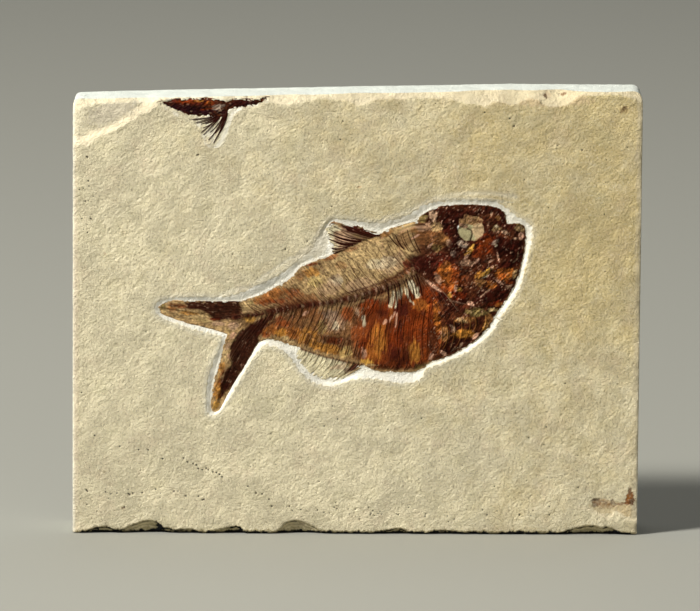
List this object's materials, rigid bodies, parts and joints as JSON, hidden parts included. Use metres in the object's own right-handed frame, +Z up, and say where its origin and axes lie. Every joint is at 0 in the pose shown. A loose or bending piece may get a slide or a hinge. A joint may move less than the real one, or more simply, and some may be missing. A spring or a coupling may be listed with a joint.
{
  "type": "fossil fish slab",
  "caption": "Thin rectangular slab of pale limestone standing on its long edge, with a whole fossil fish in a shallow hollow and part of another at the top edge.",
  "frame": {"origin": "middle of the slab's footprint, on the surface it stands on", "axes": "+X along the slab's long edge towards the fish's head, +Y from the face with the fish through the thickness to the back, +Z up"},
  "size_m": [0.18, 0.02, 0.1414],
  "materials": {
    "limestone": "matt, fine-grained cream to tan limestone, chalky white where it was scraped, with small dark pits",
    "fossil_bone": "mineralised bone, black-brown to rust and amber, slightly waxy"
  },
  "bodies": {
    "root": {"limestone_slab": "limestone", "fossil_fish": "fossil_bone", "edge_fish": "fossil_bone"}
  },
  "joints": []
}
